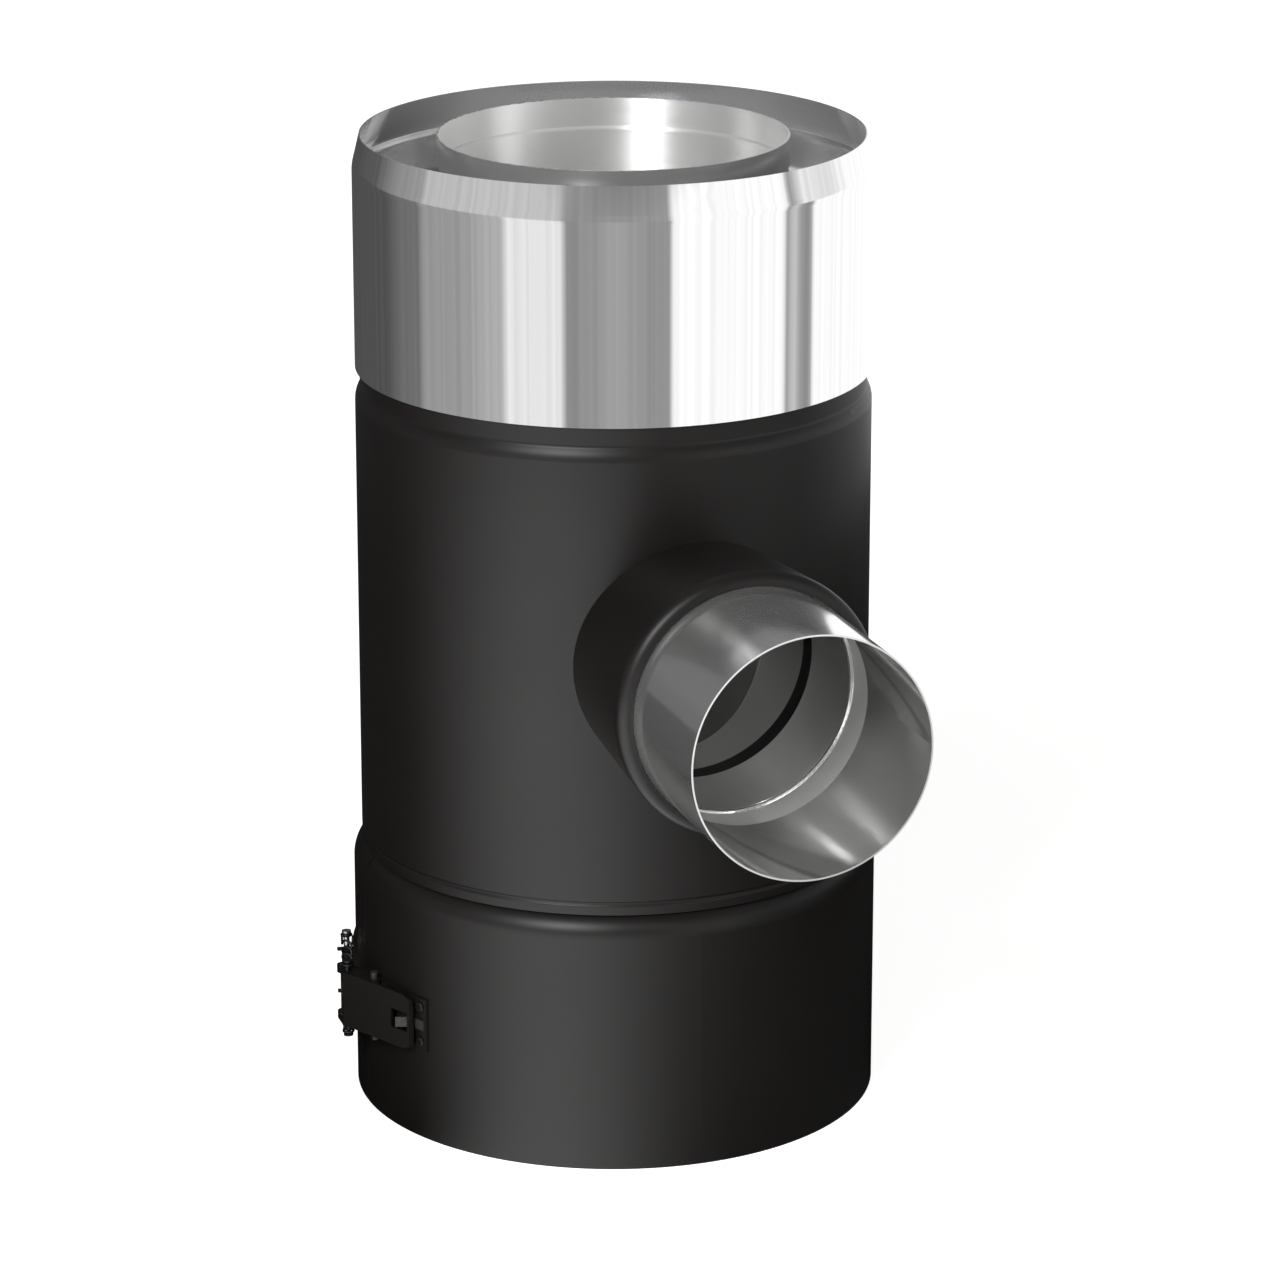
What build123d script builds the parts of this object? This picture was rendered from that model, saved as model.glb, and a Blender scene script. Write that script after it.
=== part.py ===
from build123d import *
import os
from math import acos, asin, atan2, cos, degrees, hypot, pi, radians, sin, sqrt

# Pellet vent tee: an insulated flue tee on a latched clean-out base.
# Millimetres, +Z up. The origin is on the flue axis at the base's underside.
# The branch points along +X and the latch sits on the -Y side.

# Sheet thicknesses and fits
shell_wall = 0.6
jacket_wall = 0.7
pan_wall = 0.8
liner_wall = 0.6
sleeve_wall = 0.5
ring_wall = 1.0
bead_bend = 1.2
slip = 0.1
seat = 0.05
through = 10.0

# Bores that take the pipes
flue_radius = 59.6
branch_bore = 40.8

# Outer casing
tee_radius = 90.0
jacket_step = 3.0
jacket_radius = tee_radius + jacket_step
jacket_shoulder_radius = 9.0
jacket_shoulder_height = 7.5
neck_step = 1.7
neck_radius = tee_radius - neck_step
sleeve_step = 0.1
sleeve_radius = tee_radius - sleeve_step
rim_step = 2.6
sleeve_rim_radius = sleeve_radius - rim_step
sleeve_taper = 13.4
sleeve_bend_radius = 12.0
groove_depth = 0.5
groove_height = 2.4
shoulder_height = 5.5
shoulder_edge_radius = 2.2

# Heights of the base
base_top = 92.0
pan_height = 14.0
pan_bend = 1.5
drum_step = 1.6
drum_radius = tee_radius - drum_step
drum_bead_rise = 11.0
drum_bead = base_top + drum_bead_rise
drum_lap = 20.0
drum_top = base_top + drum_lap

# Heights of the tee and its upper end
joint_gap = 0.5
tee_bottom = base_top + joint_gap
groove_lift = 2.8
groove_start = tee_bottom + groove_lift
branch_rise = 88.5
branch_height = tee_bottom + branch_rise
tee_length = 160.0
tee_shoulder = tee_bottom + tee_length
neck_exposed = 11.9
sleeve_bottom = tee_shoulder + neck_exposed
neck_bead_lift = 4.0
neck_lap = 15.6
neck_top = sleeve_bottom + neck_lap
sleeve_length = 81.5
sleeve_top = sleeve_bottom + sleeve_length

# Flue liner
liner_radius = flue_radius + liner_wall
liner_sink = 0.8
liner_top = sleeve_top - liner_sink
lip_height = 9.9
liner_ledge = liner_top - lip_height
lip_step = 0.6
lip_bend_radius = 1.0
socket_step = 0.7
socket_lift = 5.5
socket_bottom = tee_shoulder + socket_lift
socket_depth = 4.2
socket_stop = socket_bottom + socket_depth
socket_lap = 25.6
socket_top = sleeve_bottom + socket_lap
foot_gap = 2.0
liner_foot = base_top + foot_gap

# Soot cup
cup_sink = 0.5
cup_floor = pan_height - cup_sink
cup_slack = 0.6
cup_radius = liner_radius + cup_slack
cup_bend = 3.0
bell_step = 1.4
bell_drop = 2.0
bell_bottom = base_top - bell_drop
bell_rise = 14.0
bell_top = base_top + bell_rise
gasket_lift = 4.0
gasket_bottom = base_top + gasket_lift
gasket_height = 5.0

# Filling
wool_gap = 0.2
wool_headroom = 2.0
cover_gap = 1.0
cover_sink = 3.2
top_cover = liner_ledge - cover_sink

# Branch, measured from the flue axis
branch_radius = branch_bore + shell_wall
branch_projection = 105.2
branch_reach = tee_radius + branch_projection
bead_rise = 1.2
bead_projection = 32.4
bead_start = tee_radius + bead_projection
tube_sink = 2.0
tube_start = tee_radius - tube_sink
seal_wall = 0.4
outlet_radius = branch_bore + seal_wall + seat
outlet_sink = 13.0
outlet_end = tee_radius - outlet_sink

# Branch collar
collar_step = 1.2
collar_root_radius = branch_bore + collar_step
collar_flare = 4.6
collar_front_radius = collar_root_radius + collar_flare
collar_sink = 10.0
collar_root = tee_radius - collar_sink
collar_projection = 49.6
collar_front = tee_radius + collar_projection
collar_edge_radius = 4.2
collar_gap = 0.2

# Jacket seam
seam_gap = 0.8
strip_half_angle = 8.0
strip_wall = 0.6
strip_end_gap = 1.0

# Latch, seen from above: u runs along the seam's tangent to the catch, v outward
latch_height = 43.0
latch_plate = 1.0
base_half_height = 9.65
base_end_angle = -3.0
ear_foot_angle = -7.5
ear_wall = 1.2
ear_outer = 8.6
ear_clearance = 0.25
ear_boss = 2.7
pivot_lift = 8.0
pivot_rise = jacket_radius + pivot_lift
pivot_radius = 1.5
pin_clearance = 0.05

# Latch lever
lever_pitch = 26.0
lever_reach = 41.0
lever_face = 5.8
lever_wall = 1.2
lever_shoulder = 5.0
lever_end_half = 8.3
lever_corner = 2.0
lip_radius = 2.0
lip_turn = 55.0
eye_reach = 5.6
eye_radius = 2.1
ear_reach = 22.0
window_length = 8.2
window_height = 7.0
window_inset = 1.0
cross_pin_reach = 18.0
cross_pin_drop = 3.6
cross_pin_radius = 1.3
cross_pin_overhang = 2.6
cross_pin_boss = 2.2

# Draw springs, their pins and the catch
spring_pin_radius = 0.9
wire_radius = 0.45
coil_radius = 1.65
coil_turns = 3.0
coil_start = 9.0
spring_offset = 12.6
pin_overhang = 0.55
pin_head_radius = 1.7
pin_head = 0.6
hook_bar_radius = 1.1
hook_angle = 13.0
hook_lift = 3.4
hook_radius = jacket_radius + hook_lift
claw_gap = 0.3
claw_lean = 10.0
claw_rise = 2.2
claw_half = 8.6
prong_rise = 3.8
prong_width = 1.2
catch_end_angle = 27.0
catch_half_height = 8.5

# Rivets and the tongue that holds the lever down
rivet_radius = 1.2
rivet_head_radius = 1.8
rivet_head = 0.8
rivet_tail = 0.6
rivet_dimple_radius = 0.7
rivet_dimple = 0.4
rivet_inset = 3.0
base_inset = 0.8
inner_rivet_angle = -16.5
outer_rivet_lift = 6.5
inner_rivet_lift = 5.0
catch_rivets = [(21.5, 5.0), (21.5, -5.0)]
tongue_setback = 10.2
tongue_foot = 5.6
tongue_bend = 1.2
tongue_turn = 46.0
tongue_blade = 5.6
tongue_half_height = 1.8
tongue_wall = 0.6

latch = Plane(origin=(0, 0, latch_height), x_dir=(-1, 0, 0), z_dir=(0, 0, 1))
branch = Plane(origin=(0, 0, branch_height), x_dir=(0, 1, 0), z_dir=(1, 0, 0))


# Sheet-metal sections
def line(length):
    return ("line", length)


def bend(radius, turn):
    return ("bend", radius, turn)


def sheet_face(start, heading, steps, wall):
    """Section of a sheet that follows the steps, with its wall on the left of the path."""
    near = []
    far = []
    x, y = start
    for step in steps:
        side = (-sin(radians(heading)), cos(radians(heading)))
        near_start = (x, y)
        far_start = (x + wall * side[0], y + wall * side[1])
        if step[0] == "line":
            x += step[1] * cos(radians(heading))
            y += step[1] * sin(radians(heading))
            far_end = (x + wall * side[0], y + wall * side[1])
            near.append(Line(near_start, (x, y)))
            far.append(Line(far_end, far_start))
        else:
            radius, turn = step[1], step[2]
            way = 1 if turn > 0 else -1
            centre = (x + way * radius * side[0], y + way * radius * side[1])
            from_angle = heading - way * 90
            near.append(CenterArc(centre, radius, from_angle, turn))
            far.append(CenterArc(centre, radius - way * wall, from_angle + turn, -turn))
            heading += turn
            x = centre[0] + radius * cos(radians(heading - way * 90))
            y = centre[1] + radius * sin(radians(heading - way * 90))
    side = (-sin(radians(heading)), cos(radians(heading)))
    end_cap = Line((x, y), (x + wall * side[0], y + wall * side[1]))
    start_cap = Line(far[0] @ 1, start)
    return make_face(near + [end_cap] + far[::-1] + [start_cap])


def turned(face):
    return revolve(Plane.XZ * face, Axis.Z)


def offset_step(rise, radius):
    """Two bends that shift a wall by rise: outward when positive, inward when negative."""
    turn = degrees(acos(1 - abs(rise) / (2 * radius)))
    way = -1 if rise > 0 else 1
    return [bend(radius, way * turn), bend(radius, -way * turn)]


def step_length(rise, radius):
    return 2 * radius * sin(acos(1 - abs(rise) / (2 * radius)))


def rolled(rise, radius):
    """A rolled bead when rise is positive, a rolled groove when it is negative."""
    first = offset_step(rise, radius)
    return [first[0], bend(radius, -2 * first[0][2]), first[0]]


def ring(outer, inner, bottom, top):
    return Pos(0, 0, bottom) * extrude(Circle(outer) - Circle(inner), top - bottom)


def disc(radius, bottom, top):
    return Pos(0, 0, bottom) * extrude(Circle(radius), top - bottom)


def along_branch(shape):
    return branch * shape


def on_latch(shape):
    return latch * shape


# Values that several pieces share
tee_bore = tee_radius - shell_wall
drum_bore = drum_radius - shell_wall
liner_bell = cup_radius + bell_step
jacket_bore = jacket_radius - jacket_wall
plate_inner = jacket_radius + seat
plate_outer = plate_inner + latch_plate
wool_bottom = pan_wall + slip
tee_cover = drum_top + cover_gap
base_cover = bell_top + cover_gap
lever_ear_inner = ear_outer + ear_clearance
lever_half = lever_ear_inner + ear_wall
pin_half = spring_offset + wire_radius + pin_overhang

# The lever's window, then the tongue, base plate and rivets that follow it
lip_start = lever_reach - lip_radius * sin(radians(lip_turn))
window_middle = lip_start - window_inset - window_length / 2
pitch_cos = cos(radians(lever_pitch))
pitch_sin = sin(radians(lever_pitch))
window_u = -window_middle * pitch_cos - lever_face * pitch_sin
window_v = pivot_rise - window_middle * pitch_sin + lever_face * pitch_cos
tongue_start_angle = degrees(atan2(window_u, window_v) - tongue_setback / plate_outer)
base_start_angle = tongue_start_angle - degrees(base_inset / plate_outer)
outer_rivet_angle = base_start_angle + degrees(rivet_inset / plate_outer)
base_rivets = [(outer_rivet_angle, outer_rivet_lift), (outer_rivet_angle, -outer_rivet_lift)]
base_rivets += [(inner_rivet_angle, inner_rivet_lift), (inner_rivet_angle, -inner_rivet_lift)]


# Clean-out base
def base_pan():
    outer = jacket_bore - slip
    steps = [line(outer - pan_bend), bend(pan_bend, 90), line(pan_height - pan_bend)]
    return turned(sheet_face((0, 0), 0, steps, pan_wall))


def rivet_holes(places, radius):
    return [rivet_axis(angle, level) * Cylinder(radius, 2 * through) for angle, level in places]


def rivet_axis(angle, level):
    """Frame on the jacket's outer face, looking outward, at an angle from the seam."""
    u = jacket_radius * sin(radians(angle))
    v = jacket_radius * cos(radians(angle))
    return Plane(origin=(u, v, level), z_dir=(u, v, 0))


def jacket_band():
    turn = degrees(asin(jacket_shoulder_height / jacket_shoulder_radius))
    straight = base_top - jacket_shoulder_height
    steps = [line(straight), bend(jacket_shoulder_radius, turn)]
    band = turned(sheet_face((jacket_radius, 0), 90, steps, jacket_wall))
    seam = Pos(0, -jacket_radius, base_top / 2) * Box(seam_gap, 2 * through, base_top + through)
    holes = rivet_holes(base_rivets + catch_rivets, rivet_radius + slip)
    return band - seam - [on_latch(hole) for hole in holes]


def sector(inner, outer, start, end, half_height):
    """Curved plate between two angles from the seam, in the latch's frame."""
    reach = 2 * outer
    middle = (start + end) / 2
    corners = [(0, 0)]
    for angle in (start, middle, end):
        corners.append((reach * sin(radians(angle)), reach * cos(radians(angle))))
    wedge = extrude(make_face(Polyline(*corners, close=True)), half_height, both=True)
    band = extrude(Circle(outer) - Circle(inner), half_height, both=True)
    return band & wedge


def seam_strip():
    outer = jacket_bore - seat
    bottom = pan_height + strip_end_gap
    half = (base_top - jacket_shoulder_height - strip_end_gap - bottom) / 2
    strip = sector(outer - strip_wall, outer, -strip_half_angle, strip_half_angle, half)
    return Pos(0, 0, bottom + half) * (Rot(0, 0, 180) * strip)


def base_drum():
    length = step_length(tee_bore - slip - drum_radius, bead_bend) * 2
    rise = tee_bore - slip - drum_radius
    lower = drum_bead - pan_wall
    upper = drum_top - drum_bead - length
    steps = [line(lower)] + rolled(rise, bead_bend) + [line(upper)]
    return turned(sheet_face((drum_radius, pan_wall), 90, steps, shell_wall))


def soot_cup():
    lower = bell_bottom - cup_floor - cup_bend
    upper = bell_top - bell_bottom - step_length(bell_step, bead_bend)
    steps = [line(cup_radius - cup_bend), bend(cup_bend, 90), line(lower)]
    steps += offset_step(bell_step, bead_bend) + [line(upper)]
    return turned(sheet_face((0, cup_floor), 0, steps, liner_wall))


def cup_gasket():
    bore = liner_bell - liner_wall - seat
    return ring(bore, liner_radius + seat, gasket_bottom, gasket_bottom + gasket_height)


def floor_insulation():
    return disc(drum_bore - wool_gap, wool_bottom, cup_floor - slip)


def base_insulation():
    return ring(drum_bore - wool_gap, liner_bell + wool_gap, cup_floor, base_cover - slip)


def base_cover_ring():
    return ring(drum_bore - slip, liner_bell + slip, base_cover, base_cover + ring_wall)


# Tee
def tee_shell():
    quarter = groove_height / 4
    groove_bend = (groove_depth ** 2 / 4 + quarter ** 2) / groove_depth
    sink = tee_radius - neck_radius
    shoulder_turn = 2 * degrees(atan2(sink, shoulder_height))
    both_bends = shoulder_height / sin(radians(shoulder_turn))
    bead = sleeve_radius - sleeve_wall - slip - neck_radius
    bead_at = sleeve_bottom + neck_bead_lift
    upper = neck_top - bead_at - 2 * step_length(bead, bead_bend)
    steps = [line(groove_start - tee_bottom)] + rolled(-groove_depth, groove_bend)
    steps += [line(tee_shoulder - groove_start - groove_height)]
    steps += [bend(both_bends - shoulder_edge_radius, shoulder_turn)]
    steps += [bend(shoulder_edge_radius, -shoulder_turn)]
    steps += [line(bead_at - tee_shoulder - shoulder_height)]
    steps += rolled(bead, bead_bend) + [line(upper)]
    shell = turned(sheet_face((tee_radius, tee_bottom), 90, steps, shell_wall))
    hole = disc(branch_radius + collar_gap, 0, tee_radius + through)
    return shell - along_branch(hole)


def tee_liner():
    lower = socket_bottom - liner_foot
    upper = socket_top - socket_bottom - step_length(socket_step, bead_bend)
    steps = [line(lower)] + offset_step(socket_step, bead_bend) + [line(upper)]
    liner = turned(sheet_face((liner_radius, liner_foot), 90, steps, liner_wall))
    spigot = along_branch(ring(outlet_radius + liner_wall, outlet_radius, 0, outlet_end))
    flue = disc(flue_radius, liner_foot, socket_bottom)
    return liner - along_branch(disc(branch_bore, 0, liner_radius + through)) + (spigot - flue)


def tee_insulation():
    bottom = tee_cover + ring_wall + slip
    wool = ring(tee_bore - wool_gap, liner_radius + wool_gap, bottom, tee_shoulder - wool_headroom)
    hole = disc(outlet_radius + liner_wall + wool_gap, 0, tee_radius + through)
    return wool - along_branch(hole)


def tee_cover_ring():
    return ring(tee_bore - slip, liner_radius + slip, tee_cover, tee_cover + ring_wall)


def branch_tube():
    flat = collar_front - shell_wall - 2 * slip - bead_start - 2 * step_length(bead_rise, bead_bend)
    mouth = branch_reach - collar_front + shell_wall + 2 * slip
    steps = [line(bead_start - tube_start)] + offset_step(bead_rise, bead_bend) + [line(flat)]
    steps += offset_step(-bead_rise, bead_bend) + [line(mouth)]
    return along_branch(turned(sheet_face((branch_radius, tube_start), 90, steps, shell_wall)))


def branch_seal():
    """Sleeve that lines the outlet from the flue liner to the branch tube."""
    sleeve = along_branch(ring(branch_bore + seal_wall, branch_bore, 0, tube_start - seat))
    return sleeve - disc(liner_radius + seat, liner_foot, socket_bottom)


def branch_collar():
    slope = (collar_front_radius - collar_root_radius) / (collar_front - collar_root)
    lean = degrees(atan2(slope, 1))
    start = sqrt(tee_radius ** 2 - collar_front_radius ** 2)
    edge = collar_front - collar_edge_radius * (1 + sin(radians(lean)))
    start_radius = collar_root_radius + slope * (start - collar_root)
    edge_radius = collar_root_radius + slope * (edge - collar_root)
    face = edge_radius - collar_edge_radius * cos(radians(lean)) - branch_radius - collar_gap
    steps = [line((edge - start) / cos(radians(lean)))]
    steps += [bend(collar_edge_radius, 90 + lean), line(face)]
    collar = along_branch(turned(sheet_face((start_radius, start), 90 - lean, steps, shell_wall)))
    return collar - disc(tee_radius + seat, 0, tee_shoulder)


# Upper end
def top_sleeve():
    taper = radians(sleeve_taper)
    bend_in = sleeve_bend_radius * (1 - cos(taper))
    cone = (sleeve_radius - sleeve_rim_radius - bend_in) / sin(taper)
    straight = sleeve_top - sleeve_bottom - cone * cos(taper) - sleeve_bend_radius * sin(taper)
    steps = [line(straight), bend(sleeve_bend_radius, sleeve_taper), line(cone)]
    return turned(sheet_face((sleeve_radius, sleeve_bottom), 90, steps, sleeve_wall))


def top_liner():
    lower = liner_ledge - socket_stop - step_length(lip_step, lip_bend_radius)
    steps = [line(lower)] + offset_step(lip_step, lip_bend_radius)
    steps += [line(liner_top - liner_ledge)]
    return turned(sheet_face((liner_radius, socket_stop), 90, steps, liner_wall))


def top_insulation():
    inner = liner_radius + socket_step + wool_gap
    outer = neck_radius - shell_wall - wool_gap
    return ring(outer, inner, tee_shoulder, top_cover - slip)


def top_cover_ring():
    outer = sleeve_radius - sleeve_wall - slip
    return ring(outer, liner_radius + slip, top_cover, top_cover + ring_wall)


# Latch
def pivot():
    return (0, pivot_rise)


def lever_frame():
    """Frame of the closed lever: origin on its pivot, x from its free end to the pivot."""
    return Plane(origin=(*pivot(), 0), x_dir=(cos(radians(lever_pitch)), sin(radians(lever_pitch)), 0))


def eye_centre():
    """Axis of the spring pin, in the lever's frame."""
    return (-eye_reach, lever_face - eye_radius)


def cross_pin_place():
    """Axis of the pin that ties the lever's ears, in the lever's frame."""
    return (-cross_pin_reach, lever_face - cross_pin_drop)


def cross_pin():
    pin = Pos(*cross_pin_place()) * Cylinder(cross_pin_radius, 2 * (lever_half + cross_pin_overhang))
    return on_latch(lever_frame() * pin)


def spring_pin_axis():
    point = lever_frame().from_local_coords((*eye_centre(), 0))
    return (point.X, point.Y)


def hook_axis():
    return (hook_radius * sin(radians(hook_angle)), hook_radius * cos(radians(hook_angle)))


def latch_base():
    plate = sector(plate_inner, plate_outer, base_start_angle, base_end_angle, base_half_height)
    foot = [(sin(radians(angle)) * jacket_radius, cos(radians(angle)) * jacket_radius)
            for angle in (ear_foot_angle, base_end_angle)]
    boss = Pos(*pivot()) * Circle(ear_boss)
    ear = make_hull(boss.edges() + Polyline(*foot, pivot(), close=True).edges())
    ears = extrude(ear, ear_outer, both=True) - extrude(ear, ear_outer - ear_wall, both=True)
    ears -= extrude(Circle(plate_inner), base_half_height, both=True)
    pin_hole = Pos(*pivot()) * Cylinder(pivot_radius + seat, 4 * base_half_height)
    return on_latch(plate + ears - pin_hole - rivet_holes(base_rivets, rivet_radius + slip))


def pivot_pin():
    return on_latch(Pos(*pivot()) * Cylinder(pivot_radius, 2 * lever_half))


def latch_lever():
    steps = [line(lip_start - eye_reach), bend(lip_radius, -lip_turn)]
    section = sheet_face((-eye_reach, lever_face), 180, steps, lever_wall)
    strip = extrude(section, lever_half, both=True)
    outline = [(0, lever_half), (lever_shoulder - lever_reach, lever_half), (-lever_reach, lever_end_half)]
    outline += [(x, -z) for x, z in reversed(outline)]
    blade = make_face(Polyline(*outline, close=True))
    blade = fillet(blade.vertices().sort_by(Axis.X)[:4], lever_corner)
    strip &= Pos(0, lever_face, 0) * extrude(Plane.XZ * blade, 4 * lever_wall, both=True)
    eye = Pos(*eye_centre()) * Circle(eye_radius)
    tail = Pos(-ear_reach, lever_face - lever_wall / 2) * Circle(lever_wall / 2)
    ear = make_hull(Circle(ear_boss).edges() + eye.edges() + tail.edges())
    boss = Pos(*cross_pin_place()) * Circle(cross_pin_boss)
    ear += make_hull(boss.edges() + eye.edges() + tail.edges())
    ears = extrude(ear, lever_half, both=True) - extrude(ear, lever_ear_inner, both=True)
    window = Pos(-window_middle, lever_face, 0) * Box(window_length, 4 * lever_wall, window_height)
    lever = strip - window + extrude(eye, lever_half, both=True) + ears
    lever -= Pos(*eye_centre()) * Cylinder(spring_pin_radius + seat, 4 * lever_half)
    lever -= Cylinder(pivot_radius + pin_clearance, 4 * lever_half)
    lever -= Pos(*cross_pin_place()) * Cylinder(cross_pin_radius + seat, 4 * lever_half)
    return on_latch(lever_frame() * lever)


def headed_pin(centre, radius):
    """Pin across the latch with a head outside each spring."""
    head = Pos(0, 0, pin_half + pin_head / 2) * Cylinder(pin_head_radius, pin_head)
    pin = Cylinder(radius, 2 * pin_half) + head + mirror(head, Plane.XY)
    return on_latch(Pos(*centre) * pin)


def draw_spring():
    """Open coil from a straight leg at the hook bar to the spring pin, with a loop round each."""
    start, end = hook_axis(), spring_pin_axis()
    span = hypot(end[0] - start[0], end[1] - start[1])
    loop_radius = coil_radius + slip
    overlap = sqrt(loop_radius ** 2 - coil_radius ** 2)
    length = span - coil_start - overlap
    run_out = wire_radius * length / (coil_turns * 2 * pi * coil_radius)
    coil_path = Helix(pitch=length / coil_turns, height=length + run_out, radius=coil_radius,
                      lefthand=True)
    pen = Plane(origin=coil_path @ 0, z_dir=coil_path % 0) * Circle(wire_radius)
    coil = Pos(0, 0, coil_start) * sweep(pen, path=coil_path, is_frenet=True)
    leg = Pos(coil_radius, 0, overlap) * extrude(Circle(wire_radius), coil_start - overlap)
    joint = Pos(coil_radius, 0, coil_start) * Sphere(wire_radius)
    loop = Rot(90, 0, 0) * Torus(loop_radius, wire_radius)
    spring = loop + leg + joint + coil + Pos(0, 0, span) * loop
    direction = (end[0] - start[0], end[1] - start[1], 0)
    outward = (direction[1], -direction[0], 0)
    return on_latch(Plane(origin=(*start, spring_offset), x_dir=outward, z_dir=direction) * spring)


def catch_plate():
    hook = hook_axis()
    face = (hook[0] - hook_bar_radius - claw_gap, hook[1])
    lean = radians(claw_lean)
    foot = sqrt(plate_inner ** 2 - face[0] ** 2) - hook[1]
    outline = [(face[0] + rise * sin(lean) / cos(lean), face[1] + rise) for rise in (foot, prong_rise)]
    outline += [(x - latch_plate / cos(lean), y) for x, y in reversed(outline)]
    claw = extrude(make_face(Polyline(*outline, close=True)), claw_half, both=True)
    claw -= extrude(Circle(plate_inner), claw_half, both=True)
    dip = Box(through, prong_rise, 2 * (claw_half - prong_width))
    claw -= Pos(face[0], hook[1] + claw_rise + prong_rise / 2) * dip
    start = degrees(atan2(outline[3][0], plate_inner))
    plate = sector(plate_inner, plate_outer, start, catch_end_angle, catch_half_height)
    return on_latch(plate + claw - rivet_holes(catch_rivets, rivet_radius + slip))


def rivets(places):
    """Blind rivets through a latch plate and the jacket."""
    tail_bottom = -jacket_wall - seat - rivet_tail
    head_bottom = seat + latch_plate + seat
    head = Pos(0, 0, head_bottom) * extrude(Circle(rivet_head_radius), rivet_head)
    head = fillet(head.edges().sort_by(Axis.Z)[-1:], rivet_head / 2)
    shank = Pos(0, 0, tail_bottom) * extrude(Circle(rivet_radius), head_bottom - tail_bottom)
    tail = Pos(0, 0, tail_bottom) * extrude(Circle(rivet_head_radius), rivet_tail)
    dimple_bottom = head_bottom + rivet_head - rivet_dimple
    dimple = Pos(0, 0, dimple_bottom) * extrude(Circle(rivet_dimple_radius), rivet_dimple)
    whole = head + shank + tail - dimple
    return Compound(children=[on_latch(rivet_axis(*place) * whole) for place in places])


def safety_tongue():
    """Sprung strip: its foot lies on the latch base and its blade rises through the lever's window."""
    reach = plate_outer + seat
    lean = degrees(atan2(tongue_foot / 2, reach))
    middle = tongue_start_angle + lean
    start = (reach * sin(radians(middle)) - tongue_foot / 2 * cos(radians(middle)),
             reach * cos(radians(middle)) + tongue_foot / 2 * sin(radians(middle)))
    steps = [line(tongue_foot), bend(tongue_bend, tongue_turn), line(tongue_blade)]
    strip = sheet_face(start, -middle, steps, tongue_wall)
    return on_latch(extrude(strip, tongue_half_height, both=True))


pieces = {
    "base_pan": base_pan(),
    "jacket_band": jacket_band(),
    "seam_strip": seam_strip(),
    "base_drum": base_drum(),
    "floor_insulation": floor_insulation(),
    "soot_cup": soot_cup(),
    "cup_gasket": cup_gasket(),
    "base_insulation": base_insulation(),
    "base_cover_ring": base_cover_ring(),
    "tee_shell": tee_shell(),
    "tee_liner": tee_liner(),
    "tee_insulation": tee_insulation(),
    "tee_cover_ring": tee_cover_ring(),
    "branch_tube": branch_tube(),
    "branch_seal": branch_seal(),
    "branch_collar": branch_collar(),
    "top_sleeve": top_sleeve(),
    "top_liner": top_liner(),
    "top_insulation": top_insulation(),
    "top_cover_ring": top_cover_ring(),
    "latch_base": latch_base(),
    "latch_base_rivets": rivets(base_rivets),
    "safety_tongue": safety_tongue(),
    "pivot_pin": pivot_pin(),
    "catch_plate": catch_plate(),
    "catch_rivets": rivets(catch_rivets),
    "latch_lever": latch_lever(),
    "cross_pin": cross_pin(),
    "spring_pin": headed_pin(spring_pin_axis(), spring_pin_radius),
    "draw_spring_upper": draw_spring(),
    "draw_spring_lower": mirror(draw_spring(), latch),
    "hook_bar": headed_pin(hook_axis(), hook_bar_radius),
}

os.makedirs("parts", exist_ok=True)
for name, piece in pieces.items():
    export_step(piece, f"parts/{name}.step")
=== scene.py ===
# %% [markdown]
# # Pellet vent tee
#
# An insulated flue tee for a pellet stove: a black twin-wall casing, a polished
# sleeve that the next length slides over, a polished branch for the stove pipe
# and a clean-out base held by a sprung latch. The solids come from the CAD
# frame. This notebook gives them their finishes, the camera and the studio.

# %% The frame
import bpy
import bmesh
from math import atan2, cos, degrees, pi, radians, sin
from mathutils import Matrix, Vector

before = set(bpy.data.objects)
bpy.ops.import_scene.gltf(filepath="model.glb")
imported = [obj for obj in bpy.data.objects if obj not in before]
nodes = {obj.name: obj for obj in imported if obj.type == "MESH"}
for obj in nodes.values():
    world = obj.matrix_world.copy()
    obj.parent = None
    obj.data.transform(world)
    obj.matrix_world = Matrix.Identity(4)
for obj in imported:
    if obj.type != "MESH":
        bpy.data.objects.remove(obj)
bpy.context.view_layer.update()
print("CAD nodes:", len(nodes))

# %% [markdown]
# ## Sizes
#
# The CAD frame is in metres, with its origin on the flue's axis in the plane of
# the base's underside. A small helper turns the maker's millimetres into metres,
# so each size in the notebook can be read as it would be on a drawing.

# %% Millimetres
def mm(value):
    return value / 1000


# %% [markdown]
# ## Colour
#
# A colour picked on screen is sRGB, and Blender's shaders work in linear light.
# One function makes the change, so that every colour can be written as the hex
# value that is seen.

# %% Hex colours
def colour(code, alpha=1.0):
    parts = [int(code[i:i + 2], 16) / 255 for i in (1, 3, 5)]
    linear = [p / 12.92 if p <= 0.04045 else ((p + 0.055) / 1.055) ** 2.4 for p in parts]
    return (*linear, alpha)


print("mid grey in linear light:", [round(v, 3) for v in colour("#808080")])


# %% [markdown]
# ## Node trees
#
# A material is a graph. This helper adds one node, sets what is given by name and
# joins its inputs, so that a whole finish reads from top to bottom. An input given
# as a node takes that node's first output, and one given as a pair (node, output
# name) takes the named one.

# %% One helper that adds a node
def add(tree, kind, inputs=None, **settings):
    node = tree.nodes.new(kind)
    for name, value in settings.items():
        setattr(node, name, value)
    for key, value in (inputs or {}).items():
        socket = node.inputs[key]
        if isinstance(value, bpy.types.Node):
            tree.links.new(value.outputs[0], socket)
        elif isinstance(value, tuple) and isinstance(value[0], bpy.types.Node):
            tree.links.new(value[0].outputs[value[1]], socket)
        else:
            socket.default_value = value
    return node


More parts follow.
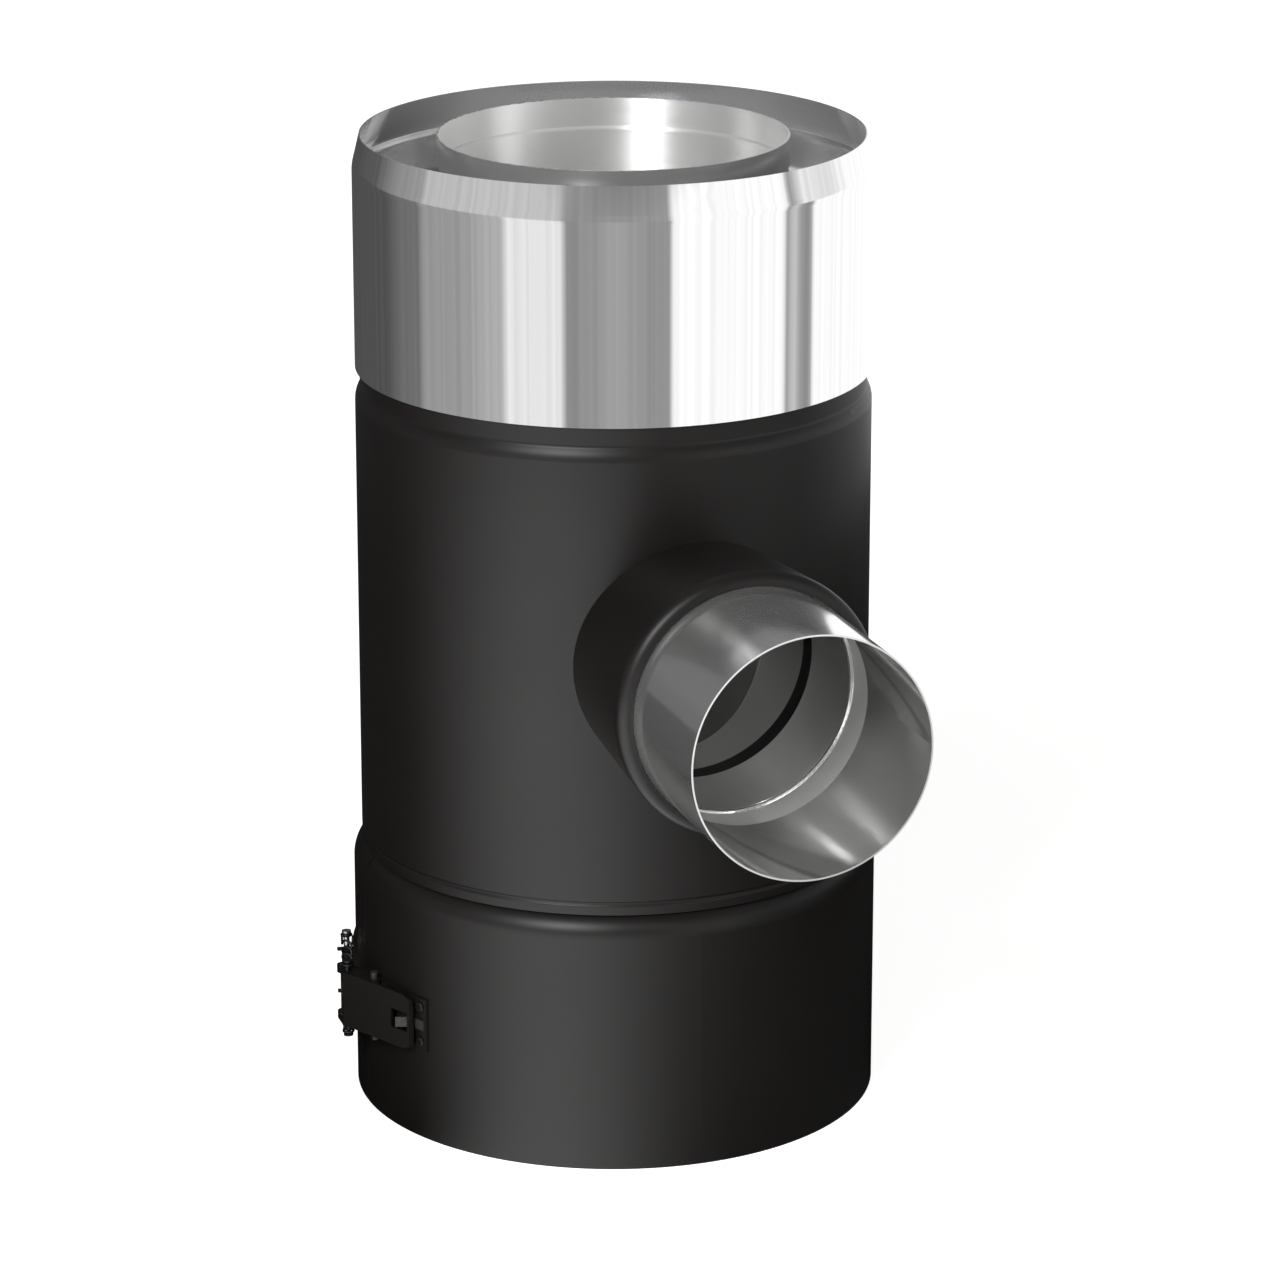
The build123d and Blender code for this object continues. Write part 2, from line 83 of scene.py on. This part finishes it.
def new_material(name):
    material = bpy.data.materials.new(name)
    material.use_nodes = True
    material.node_tree.nodes.clear()
    return material, material.node_tree


def dress(node_name, material):
    """Gives a CAD node its finish, in the slot that its faces already use."""
    mesh = nodes[node_name].data
    if not mesh.materials:
        mesh.materials.append(material)
    for index in range(len(mesh.materials)):
        mesh.materials[index] = material


# %% [markdown]
# ## Camera
#
# The view was worked out from the photograph's own ellipses: the rims of the
# sleeve, the grooves and the base. It is a long lens from the front right, a
# little above the object, so the verticals converge only slightly.

# %% Camera
camera_distance = mm(1758.0)
camera_height = mm(716.6)
camera_azimuth = radians(71.0)
camera_pitch = radians(17.487)
camera_yaw = radians(0.3007)

camera_data = bpy.data.cameras.new("camera")
camera_data.sensor_width = 36.0
camera_data.lens = 146.57
camera_data.clip_start = 0.05
camera_data.clip_end = 50.0
camera = bpy.data.objects.new("camera", camera_data)
camera.location = (camera_distance * sin(camera_azimuth), -camera_distance * cos(camera_azimuth),
                   camera_height)
camera.rotation_euler = (pi / 2 - camera_pitch, 0, camera_azimuth - camera_yaw)
bpy.context.scene.collection.objects.link(camera)
bpy.context.scene.camera = camera
print("camera at", [round(v, 3) for v in camera.location])

# %% [markdown]
# ## Floor
#
# A pale floor that fades into a white surround. To the camera, and to polished
# metal that mirrors it, it gives off its own white, more so away from the object,
# as a lit studio floor does. To the lamps it is plain pale card, so it still takes
# the object's shadow.

# %% Floor
floor_radius = 6.0
floor_glow = 0.77
glow_from, glow_full = mm(250), mm(1100)


def seen_directly(tree):
    """1 for rays from the camera, a mirror or glass, and 0 for the lamps' own light."""
    path = add(tree, "ShaderNodeLightPath")
    seen = add(tree, "ShaderNodeMath", {0: path, 1: (path, "Is Glossy Ray")}, operation="MAXIMUM")
    return add(tree, "ShaderNodeMath", {0: seen, 1: (path, "Is Transmission Ray")}, operation="MAXIMUM")


def floor_card():
    material, tree = new_material("pale studio floor")
    place = add(tree, "ShaderNodeTexCoord")
    away = add(tree, "ShaderNodeVectorMath", {0: (place, "Object")}, operation="LENGTH")
    glow = add(tree, "ShaderNodeMapRange", {"Value": (away, "Value"), "From Min": glow_from,
                                            "From Max": glow_full, "To Min": floor_glow, "To Max": 1.0},
               interpolation_type="SMOOTHSTEP")
    amount = add(tree, "ShaderNodeMath", {0: seen_directly(tree), 1: glow}, operation="MULTIPLY")
    own_light = add(tree, "ShaderNodeEmission", {"Color": colour("#ffffff"), "Strength": amount})
    card = add(tree, "ShaderNodeBsdfDiffuse", {"Color": colour("#e9e9e7")})
    both = add(tree, "ShaderNodeAddShader", {0: card, 1: own_light})
    add(tree, "ShaderNodeOutputMaterial", {"Surface": both})
    return material


bpy.ops.object.select_all(action="DESELECT")
bpy.ops.mesh.primitive_circle_add(vertices=96, radius=floor_radius, fill_type="NGON", location=(0, 0, 0))
floor = bpy.context.object
floor.name = "floor"
floor.data.materials.append(floor_card())
print("floor", floor_radius, "m across its radius, glowing", floor_glow, "near the object")

# %% [markdown]
# ## Surround
#
# The room is white to look at and nearly dark as a light, so the casing's upward
# faces stay as deep a black as they are in a studio lit from the front.

# %% Surround
fill_strength = 0.06

world = bpy.data.worlds.new("studio")
world.use_nodes = True
bpy.context.scene.world = world
sky = world.node_tree
sky.nodes.clear()
fill = add(sky, "ShaderNodeBackground", {"Color": colour("#ffffff"), "Strength": fill_strength})
white = add(sky, "ShaderNodeBackground", {"Color": colour("#ffffff"), "Strength": 1.0})
surround = add(sky, "ShaderNodeMixShader", {0: seen_directly(sky), 1: fill, 2: white})
add(sky, "ShaderNodeOutputWorld", {"Surface": surround})
print("surround: 1.0 to look at,", fill_strength, "as a light")

# %% [markdown]
# ## Cards for the metal
#
# Polished steel is only as interesting as what it mirrors, so a photographer
# stands grey and black cards round it. Here they are one ring, painted by compass
# angle, that only mirrored rays can see. The low part is what an upright wall
# mirrors, and the high part is what the sleeve's taper and the mouth mirror. The
# greys of low_cards and taper_cards were given near the brightness read off the
# photographed sleeve, band after band.

# %% Sizes and greys of the cards
card_radius = mm(850)
card_foot = mm(22)
card_height = mm(880)
taper_from, taper_full = mm(250), mm(290)
high_from, high_full = mm(520), mm(570)
fold_scale, fold_detail = 130.0, 6.0
fold_dark, fold_light = 1.03, 1.2
low_cards = [(-180, "#4a4a4b"), (-132, "#525253"), (-120, "#6e6e6f"), (-109, "#707071"), (-107, "#969697"),
             (-85, "#9a9a9b"), (-66, "#b4b4b5"), (-64, "#e6e6e6"), (-41, "#e9e9e9"), (-38, "#8a8a8b"),
             (-26, "#989899"), (-17, "#a2a2a3"), (-3, "#929293"), (4, "#949495"), (6, "#ffffff"),
             (57, "#ffffff"), (58.5, "#9a9a9b"), (63, "#cacaca"), (68, "#8e8e8f"), (73, "#9a9a9b"),
             (75, "#ffffff"), (156, "#ffffff"), (161, "#5e5e5f"), (180, "#4a4a4b")]
taper_cards = [(-180, "#4a4a4b"), (-140, "#5a5a5b"), (-122, "#8e8e8f"), (-108, "#989899"), (-104, "#bababb"),
               (-60, "#c4c4c5"), (-42, "#c2c2c3"), (-38, "#909091"), (3, "#989899"), (6, "#ffffff"),
               (57, "#ffffff"), (60, "#929293"), (68, "#eaeaea"), (84, "#dedede"), (100, "#ffffff"),
               (156, "#ffffff"), (161, "#5e5e5f"), (180, "#4a4a4b")]
high_cards = [(-180, "#505051"), (-130, "#585859"), (-90, "#747475"), (-60, "#a8a8a9"), (-35, "#949495"),
              (-19, "#626263"), (10, "#707071"), (40, "#6c6c6d"), (90, "#5c5c5d"), (126, "#5c5c5d"),
              (128, "#c4c4c5"), (131, "#606061"), (148, "#525253"), (151, "#a4a4a5"), (153, "#565657"),
              (180, "#505051")]
print("cards:", len(low_cards), "low,", len(taper_cards), "for the taper and", len(high_cards), "high")

# %% [markdown]
# ### From angles to greys
#
# A colour ramp holds one list of cards, and the angle round the flue's axis picks
# the place on it. The ring uses three such ramps, one above the other, and faint
# upright folds keep the white cards from looking like flat paint.

# %% Painting the ring
def compass_ramp(tree, angle, cards):
    """Grey levels placed by their angle from +X, in degrees."""
    ramp = add(tree, "ShaderNodeValToRGB", {0: angle})
    stops = ramp.color_ramp.elements
    while len(stops) < len(cards):
        stops.new(1.0)
    for stop, (turn, code) in zip(stops, cards):
        stop.position = (turn + 180) / 360
        stop.color = colour(code)
    return ramp


def card_ring():
    material, tree = new_material("ring of grey studio cards")
    place = add(tree, "ShaderNodeTexCoord")
    split = add(tree, "ShaderNodeSeparateXYZ", {0: (place, "Object")})
    turn = add(tree, "ShaderNodeMath", {0: (split, "Y"), 1: (split, "X")}, operation="ARCTAN2")
    angle = add(tree, "ShaderNodeMapRange", {"Value": turn, "From Min": -pi, "From Max": pi})
    step = add(tree, "ShaderNodeMapRange", {"Value": (split, "Z"), "From Min": taper_from,
                                            "From Max": taper_full})
    shade = add(tree, "ShaderNodeMix", {0: step, 6: compass_ramp(tree, angle, low_cards),
                                        7: compass_ramp(tree, angle, taper_cards)}, data_type="RGBA")
    level = add(tree, "ShaderNodeMapRange", {"Value": (split, "Z"), "From Min": high_from,
                                             "From Max": high_full})
    shade = add(tree, "ShaderNodeMix", {0: level, 6: (shade, 2), 7: compass_ramp(tree, angle, high_cards)},
                data_type="RGBA")
    fold = add(tree, "ShaderNodeTexNoise", {"W": angle, "Scale": fold_scale, "Detail": fold_detail},
               noise_dimensions="1D")
    folds = add(tree, "ShaderNodeMapRange", {"Value": fold, "From Min": 0.3, "From Max": 0.7,
                                             "To Min": fold_dark, "To Max": fold_light})
    light = add(tree, "ShaderNodeEmission", {"Color": (shade, 2), "Strength": folds})
    add(tree, "ShaderNodeOutputMaterial", {"Surface": light})
    return material


print("three ramps, blended at", round(taper_from, 3), "m and", round(high_from, 3), "m")

# %% [markdown]
# ### Standing the cards up
#
# The cards are there for mirrored rays alone. The camera looks straight through
# them, the lamps' light passes them, and they cast no shadow.

# %% Ring of cards in place
def even_card(name, code):
    """A card of one grey."""
    material, tree = new_material(name)
    light = add(tree, "ShaderNodeEmission", {"Color": colour(code), "Strength": 1.0})
    add(tree, "ShaderNodeOutputMaterial", {"Surface": light})
    return material


def mirror_only(card):
    """A card that polished metal mirrors and that neither the camera nor the lamps meet."""
    card.visible_camera = False
    card.visible_diffuse = False
    card.visible_transmission = False
    card.visible_shadow = False
    card.data.materials[0].cycles.emission_sampling = "NONE"


bpy.ops.object.select_all(action="DESELECT")
bpy.ops.mesh.primitive_cylinder_add(vertices=128, radius=card_radius, depth=card_height,
                                    end_fill_type="NOTHING", location=(0, 0, card_foot + card_height / 2))
ring = bpy.context.object
bpy.ops.object.transform_apply(location=True)
ring.name = "card_ring"
ring.data.materials.append(card_ring())
mirror_only(ring)
print("ring of", len(ring.data.polygons), "faces,", round(card_height, 3), "m high")

# %% [markdown]
# ## Graded card on the floor
#
# A satin coat shows the floor in front of it as one broad upright sheen. A card
# graded from white, left of the camera, to black behind the object lies round it,
# out of the camera's sight as the ring is. The sheen then fades to both edges. The
# card is brighter further out, where the casing's upper half mirrors it. Its greys
# were adjusted until the sheen came near readings of the photographed casing.

# %% Greys of the floor card
casing_radius = mm(93)
view_side = radians(-19)
turn_power = 1.5
floor_card_radius, floor_card_lift = mm(1300), mm(0.3)
near_strength, far_strength = 3.5, 7.0
near_until, far_from = mm(480), mm(850)
floor_cards = [(-180, "#020202"), (-98, "#040404"), (-85, "#5a5a5a"), (-69, "#a8a8a8"), (-49, "#ececec"),
               (-33, "#ffffff"), (-19, "#ffffff"), (1, "#dadada"), (19, "#9c9c9c"), (35, "#646464"),
               (53, "#363636"), (80, "#282828"), (130, "#222222"), (180, "#020202")]


def graded_card():
    """Graded by the angle that the casing mirrors, which turns faster close to its wall."""
    material, tree = new_material("graded floor card")
    place = add(tree, "ShaderNodeTexCoord")
    front = add(tree, "ShaderNodeMapping", {"Vector": (place, "Object"),
                                            "Rotation": (0, 0, -view_side)})
    split = add(tree, "ShaderNodeSeparateXYZ", {0: front})
    turn = add(tree, "ShaderNodeMath", {0: (split, "Y"), 1: (split, "X")}, operation="ARCTAN2")
    away = add(tree, "ShaderNodeVectorMath", {0: (place, "Object")}, operation="LENGTH")
    near = add(tree, "ShaderNodeMath", {0: casing_radius, 1: (away, "Value")}, operation="DIVIDE")
    near = add(tree, "ShaderNodeMath", {0: near, 1: turn_power}, operation="POWER")
    turn = add(tree, "ShaderNodeMath", {0: turn, 1: near, 2: turn}, operation="MULTIPLY_ADD")
    angle = add(tree, "ShaderNodeMapRange", {"Value": turn, "From Min": -pi, "From Max": pi})
    power = add(tree, "ShaderNodeMapRange", {"Value": (away, "Value"), "From Min": near_until,
                                             "From Max": far_from, "To Min": near_strength,
                                             "To Max": far_strength})
    light = add(tree, "ShaderNodeEmission", {"Color": compass_ramp(tree, angle, floor_cards),
                                             "Strength": power})
    add(tree, "ShaderNodeOutputMaterial", {"Surface": light})
    return material


print("floor card:", len(floor_cards), "greys, strength", near_strength, "to", far_strength)

# %% [markdown]
# ### Laying the graded card
#
# It lies a hair above the floor, and wider than the ring, so every mirrored ray
# that goes down meets it first.

# %% Floor card in place
bpy.ops.object.select_all(action="DESELECT")
bpy.ops.mesh.primitive_circle_add(vertices=96, radius=floor_card_radius, fill_type="NGON",
                                  location=(0, 0, floor_card_lift))
card = bpy.context.object
bpy.ops.object.transform_apply(location=True)
card.name = "graded_floor_card"
card.data.materials.append(graded_card())
mirror_only(card)
print("graded card lies", floor_card_lift, "m above the floor")

# %% [markdown]
# ## Black flag
#
# Seen almost edge on, even a satin coat mirrors strongly. A low dark flag bends
# round the object's sides and back, lower than the polished sleeve mirrors in the
# photograph's view, so the casing's edges stay black against the white room.

# %% Flag
flag_radius = mm(300)
flag_height = mm(165)
flag_opening = (-105, 30)

bpy.ops.object.select_all(action="DESELECT")
bpy.ops.mesh.primitive_cylinder_add(vertices=72, radius=flag_radius, depth=flag_height,
                                    end_fill_type="NOTHING", location=(0, 0, flag_height / 2))
flag = bpy.context.object
bpy.ops.object.transform_apply(location=True)
flag.name = "black_flag"
bpy.ops.object.mode_set(mode="EDIT")
shape = bmesh.from_edit_mesh(flag.data)
for face in shape.faces:
    middle = face.calc_center_median()
    face.select = flag_opening[0] < degrees(atan2(middle.y, middle.x)) < flag_opening[1]
bmesh.update_edit_mesh(flag.data)
bpy.ops.mesh.delete(type="FACE")
bpy.ops.object.mode_set(mode="OBJECT")
flag.data.materials.append(even_card("black flag", "#262626"))
mirror_only(flag)
print("flag faces:", len(flag.data.polygons))

# %% [markdown]
# ## Grey ceiling
#
# Faces that look upward mirror the ceiling. A grey card over the ring keeps the
# shoulders and the top of the collar dark, and is light enough to show in the
# steel of the mouth.

# %% Ceiling card
bpy.ops.object.select_all(action="DESELECT")
bpy.ops.mesh.primitive_circle_add(vertices=96, radius=card_radius, fill_type="NGON",
                                  location=(0, 0, card_foot + card_height))
ceiling = bpy.context.object
bpy.ops.object.transform_apply(location=True)
ceiling.name = "grey_ceiling"
ceiling.data.materials.append(even_card("grey ceiling card", "#8a8a8b"))
mirror_only(ceiling)
print("ceiling at", round(card_foot + card_height, 3), "m")

# %% [markdown]
# ## Lamps
#
# One softbox above and left of the camera gives the black casing its broad soft
# light, which falls away to both sides. A weak one overhead lifts the rims, and a
# weak one from the right keeps the far edge from going quite black.

# %% Softboxes
object_middle = (0, 0, 0.18)


def softbox(name, azimuth, height, distance, size, power):
    """A square lamp at an azimuth measured as the camera's is, aimed at the object. Metres, watts."""
    lamp = bpy.data.lights.new(name, "AREA")
    lamp.shape = "RECTANGLE"
    lamp.size, lamp.size_y = size, size
    lamp.energy = power
    holder = bpy.data.objects.new(name, lamp)
    turn = radians(azimuth)
    holder.location = (distance * sin(turn), -distance * cos(turn), height)
    direction = Vector(object_middle) - holder.location
    holder.rotation_euler = direction.to_track_quat("-Z", "Y").to_euler()
    bpy.context.scene.collection.objects.link(holder)
    print(name, "at", [round(v, 2) for v in holder.location], "with", power, "W")


softbox("key softbox", azimuth=46, height=1.3, distance=1.75, size=0.6, power=42)
softbox("top softbox", azimuth=100, height=2.3, distance=0.9, size=1.2, power=6)
softbox("side softbox", azimuth=140, height=0.7, distance=1.7, size=0.8, power=11)

# %% [markdown]
# ## Powder coat
#
# The black casing is steel sheet with a baked polyester powder coat. Powder flows
# out into a very fine orange peel, about half a millimetre from crest to crest,
# which blurs every reflection into a broad satin sheen.

# %% Satin black powder coat
peel_strength, peel_depth = 0.12, mm(0.02)
cloud_size, cloud_range = mm(40), 0.04
dull_specular = 0.25


def powder_coat(name, code, roughness, peel_mm=0.6):
    """A soft even skin with a fine grain, a little rougher in some places than in others."""
    material, tree = new_material(name)
    place = add(tree, "ShaderNodeTexCoord")
    peel = add(tree, "ShaderNodeTexNoise", {"Vector": (place, "Object"), "Scale": 1 / mm(peel_mm),
                                            "Detail": 2.0})
    bump = add(tree, "ShaderNodeBump", {"Height": peel, "Strength": peel_strength, "Distance": peel_depth})
    cloud = add(tree, "ShaderNodeTexNoise", {"Vector": (place, "Object"), "Scale": 1 / cloud_size,
                                             "Detail": 3.0})
    rough = add(tree, "ShaderNodeMapRange", {"Value": cloud, "To Min": roughness - cloud_range,
                                             "To Max": roughness + cloud_range})
    coat = add(tree, "ShaderNodeBsdfPrincipled", {"Base Color": colour(code), "Roughness": rough,
                                                  "Normal": bump, "Specular IOR Level": dull_specular})
    add(tree, "ShaderNodeOutputMaterial", {"Surface": coat})
    return material


# Deep warm black with one broad soft sheen.
black_coat = powder_coat("satin black powder coat", "#110f0e", 0.4)
coated = ("jacket_band", "base_pan", "base_drum", "tee_shell", "branch_collar", "latch_base",
          "latch_base_rivets", "catch_plate", "catch_rivets", "latch_lever", "draw_spring_upper",
          "draw_spring_lower", "spring_pin")
for name in coated:
    dress(name, black_coat)
print("powder coated:", len(coated), "nodes")

# %% [markdown]
# ## Polished stainless
#
# The sleeve, the liner's mouth and the branch are bright-annealed stainless. The
# sheet mirrors the room, and the rolls that bent it leave faint facets along the
# bend, which stretch the reflections into upright streaks.

# %% Masks for one stretch of the branch and for the inside of a pipe
soft_edge = mm(0.2)


def between(tree, low, high):
    """1 where a place along the branch lies between two lengths in metres, with soft edges."""
    place = add(tree, "ShaderNodeTexCoord")
    along = add(tree, "ShaderNodeSeparateXYZ", {0: (place, "Object")})
    rise = add(tree, "ShaderNodeMapRange", {"Value": along, "From Min": low - soft_edge,
                                            "From Max": low + soft_edge})
    fall = add(tree, "ShaderNodeMapRange", {"Value": along, "From Min": high - soft_edge,
                                            "From Max": high + soft_edge, "To Min": 1.0, "To Max": 0.0})
    return add(tree, "ShaderNodeMath", {0: rise, 1: fall}, operation="MULTIPLY")


def faces_out(tree):
    """1 on skin that looks away from the casing's axis, 0 on skin that looks at it."""
    place = add(tree, "ShaderNodeTexCoord")
    skin = add(tree, "ShaderNodeNewGeometry")
    flat = add(tree, "ShaderNodeVectorMath", {0: (place, "Object"), 1: (1, 1, 0)}, operation="MULTIPLY")
    away = add(tree, "ShaderNodeVectorMath", {0: flat, 1: (skin, "Normal")}, operation="DOT_PRODUCT")
    return add(tree, "ShaderNodeMath", {0: (away, "Value"), 1: 0.0}, operation="GREATER_THAN")


# %% [markdown]
# ### The sheet itself
#
# The roll facets are a noise drawn out along the sheet, used as a very shallow
# bump and as a slight change of roughness. The bead inside the branch is rubbed
# satin by its tool, and the sleeve's inner wall keeps the mill's duller skin.

# %% Polished stainless steel
bead_from, bead_to = mm(124.2), mm(139.4)
facet_strength, facet_depth = 0.35, mm(0.004)


def stainless(name, code, roughness, streak_mm=5.0, along=(1, 1, 0.02), metal=1.0, satin=None, inner=None):
    """Bright sheet; satin = (from, to, metal, roughness) dulls one stretch of the branch,
    inner = (metal, roughness) leaves the skin inside a pipe less polished."""
    material, tree = new_material(name)
    place = add(tree, "ShaderNodeTexCoord")
    drawn = add(tree, "ShaderNodeMapping", {"Vector": (place, "Object"), "Scale": along})
    streak = add(tree, "ShaderNodeTexNoise", {"Vector": drawn, "Scale": 1 / mm(streak_mm), "Detail": 3.0})
    bump = add(tree, "ShaderNodeBump", {"Height": streak, "Strength": facet_strength,
                                        "Distance": facet_depth})
    rough = add(tree, "ShaderNodeMapRange", {"Value": streak, "To Min": roughness * 0.7,
                                             "To Max": roughness * 1.3})
    if satin:
        dulled = between(tree, satin[0], satin[1])
        metal = add(tree, "ShaderNodeMapRange", {"Value": dulled, "To Min": metal, "To Max": satin[2]})
        rough = add(tree, "ShaderNodeMapRange", {"Value": dulled, "To Min": rough, "To Max": satin[3]})
    if inner:
        out = faces_out(tree)
        metal = add(tree, "ShaderNodeMapRange", {"Value": out, "To Min": inner[0], "To Max": metal})
        rough = add(tree, "ShaderNodeMapRange", {"Value": out, "To Min": inner[1], "To Max": rough})
    steel = add(tree, "ShaderNodeBsdfPrincipled", {"Base Color": colour(code), "Metallic": metal,
                                                   "Roughness": rough, "Normal": bump})
    add(tree, "ShaderNodeOutputMaterial", {"Surface": steel})
    return material


# A near mirror: the cards show as crisp upright bands.
polished = stainless("bright annealed stainless steel", "#f0f0f0", 0.03, inner=(0.8, 0.1))
# A mirror, its steel darker than the sleeve's as painted shade in the gap, which doubles the mouth's walls
# at the foot of the gap.
cover = stainless("mirror cover ring darkened as painted shade", "#a8a8a9", 0.08)
# Softer than the sleeve, so the branch shows glints and no sharp edges of cards.
polished_branch = stainless("bright annealed branch tube", "#f2f2f1", 0.12, along=(0.02, 1, 1), metal=0.92,
                            satin=(bead_from, bead_to, 0.6, 0.42))
# Grey and even, with only a broad sheen.
mill = stainless("mill finish stainless steel", "#dadad8", 0.35, metal=0.7)
dress("top_sleeve", polished)
dress("branch_tube", polished_branch)
for name in ("tee_liner", "soot_cup", "seam_strip", "base_cover_ring", "tee_cover_ring"):
    dress(name, mill)
dress("top_cover_ring", cover)
print("branch bead dulled from", round(bead_from * 1000, 1), "to", round(bead_to * 1000, 1), "mm")

# %% [markdown]
# ## Seals, wool and small steel
#
# The cup's seal is moulded silicone, black and soft. The filling is mineral wool.
# The pins that carry a load are zinc plated and glint a little. The tongue and the
# cross pin are phosphated, which leaves them a flat dark grey.

# %% Silicone, mineral wool, zinc plate and phosphated steel
# Nearly no shine: it reads as a black gap.
silicone = powder_coat("moulded black silicone", "#1c1c1c", 0.6, peel_mm=1.5)
# Matt yellow-brown with a coarse grain.
wool = powder_coat("mineral wool", "#a79a6d", 0.95, peel_mm=3.0)
# A cool glint on each small head and rod.
zinc = stainless("bright zinc plate", "#c9c9c6", 0.3, streak_mm=2.0, along=(1, 1, 1))
# Flat dark grey that just stands off the black plate.
phosphated = stainless("dull grey phosphated steel", "#2e2e2d", 0.6, streak_mm=1.0, along=(1, 1, 1),
                       metal=0.5)
dress("cup_gasket", silicone)
for name in ("floor_insulation", "base_insulation", "tee_insulation", "top_insulation"):
    dress(name, wool)
for name in ("pivot_pin", "hook_bar"):
    dress(name, zinc)
for name in ("safety_tongue", "cross_pin"):
    dress(name, phosphated)
print("materials so far:", len(bpy.data.materials))

# %% [markdown]
# ## Flue liner's mouth
#
# The liner's bore is brushed round and round, which pulls a lamp's glint out into
# an upright band on the far wall. Its outside is left as rolled, and mirrors.
# One material tells the two apart by whether a face looks away from the axis.

# %% Liner brushed inside and bright outside
brush_size, brush_depth = mm(0.8), mm(0.004)


def brushed_liner():
    material, tree = new_material("liner brushed round its bore")
    place = add(tree, "ShaderNodeTexCoord")
    drawn = add(tree, "ShaderNodeMapping", {"Vector": (place, "Object"), "Scale": (0.05, 0.05, 1)})
    brush = add(tree, "ShaderNodeTexNoise", {"Vector": drawn, "Scale": 1 / brush_size, "Detail": 3.0})
    bump = add(tree, "ShaderNodeBump", {"Height": brush, "Strength": 0.35, "Distance": brush_depth})
    rough = add(tree, "ShaderNodeMapRange", {"Value": brush, "To Min": 0.3, "To Max": 0.5})
    tangent = add(tree, "ShaderNodeTangent", direction_type="RADIAL", axis="Z")
    bore = add(tree, "ShaderNodeBsdfPrincipled", {"Base Color": colour("#e6e6e5"), "Metallic": 0.72,
                                                  "Normal": bump, "Roughness": rough, "Anisotropic": 0.85,
                                                  "Anisotropic Rotation": 0.25, "Tangent": tangent})
    wall = add(tree, "ShaderNodeBsdfPrincipled", {"Base Color": colour("#dcdcdb"), "Metallic": 0.86,
                                                  "Roughness": 0.18})
    both = add(tree, "ShaderNodeMixShader", {0: faces_out(tree), 1: bore, 2: wall})
    add(tree, "ShaderNodeOutputMaterial", {"Surface": both})
    return material


dress("top_liner", brushed_liner())
print("liner brushed every", round(brush_size * 1000, 1), "mm")

# %% [markdown]
# ## Outlet sleeve
#
# The sleeve between the liner and the branch tube is plain sheet for most of its
# length. Its outer end is black, a painted shade for the gap there, which shows in
# the mouth as a thin dark crescent. One material changes from sheet to black there.

# %% Outlet sleeve and its painted shade band
shade_band_from, shade_band_to = mm(80), mm(90)


def sleeve_with_shade_band():
    material, tree = new_material("outlet sleeve with black painted shade band")
    shade_band = between(tree, shade_band_from, shade_band_to)
    sheet = add(tree, "ShaderNodeBsdfPrincipled", {"Base Color": colour("#b4b4b2"), "Metallic": 0.7,
                                                   "Roughness": 0.4})
    # The black at the sleeve's outer end is painted shade for the dark gap there.
    painted_shade_black = add(tree, "ShaderNodeBsdfPrincipled", {"Base Color": colour("#0c0c0c"), "Roughness": 0.6,
                                                    "Specular IOR Level": dull_specular})
    both = add(tree, "ShaderNodeMixShader", {0: shade_band, 1: sheet, 2: painted_shade_black})
    add(tree, "ShaderNodeOutputMaterial", {"Surface": both})
    return material


dress("branch_seal", sleeve_with_shade_band())
print("lip from", round(shade_band_from * 1000), "to", round(shade_band_to * 1000), "mm along the branch")

# %% [markdown]
# ## Finish
#
# The view transform is Standard, so a colour renders about as it is written. Light
# between two steel walls needs more bounces than usual, or the mouth turns black.

# %% Finish
bpy.context.scene.view_settings.view_transform = "Standard"
bpy.context.scene.cycles.glossy_bounces = 12
bpy.context.scene.cycles.max_bounces = 16
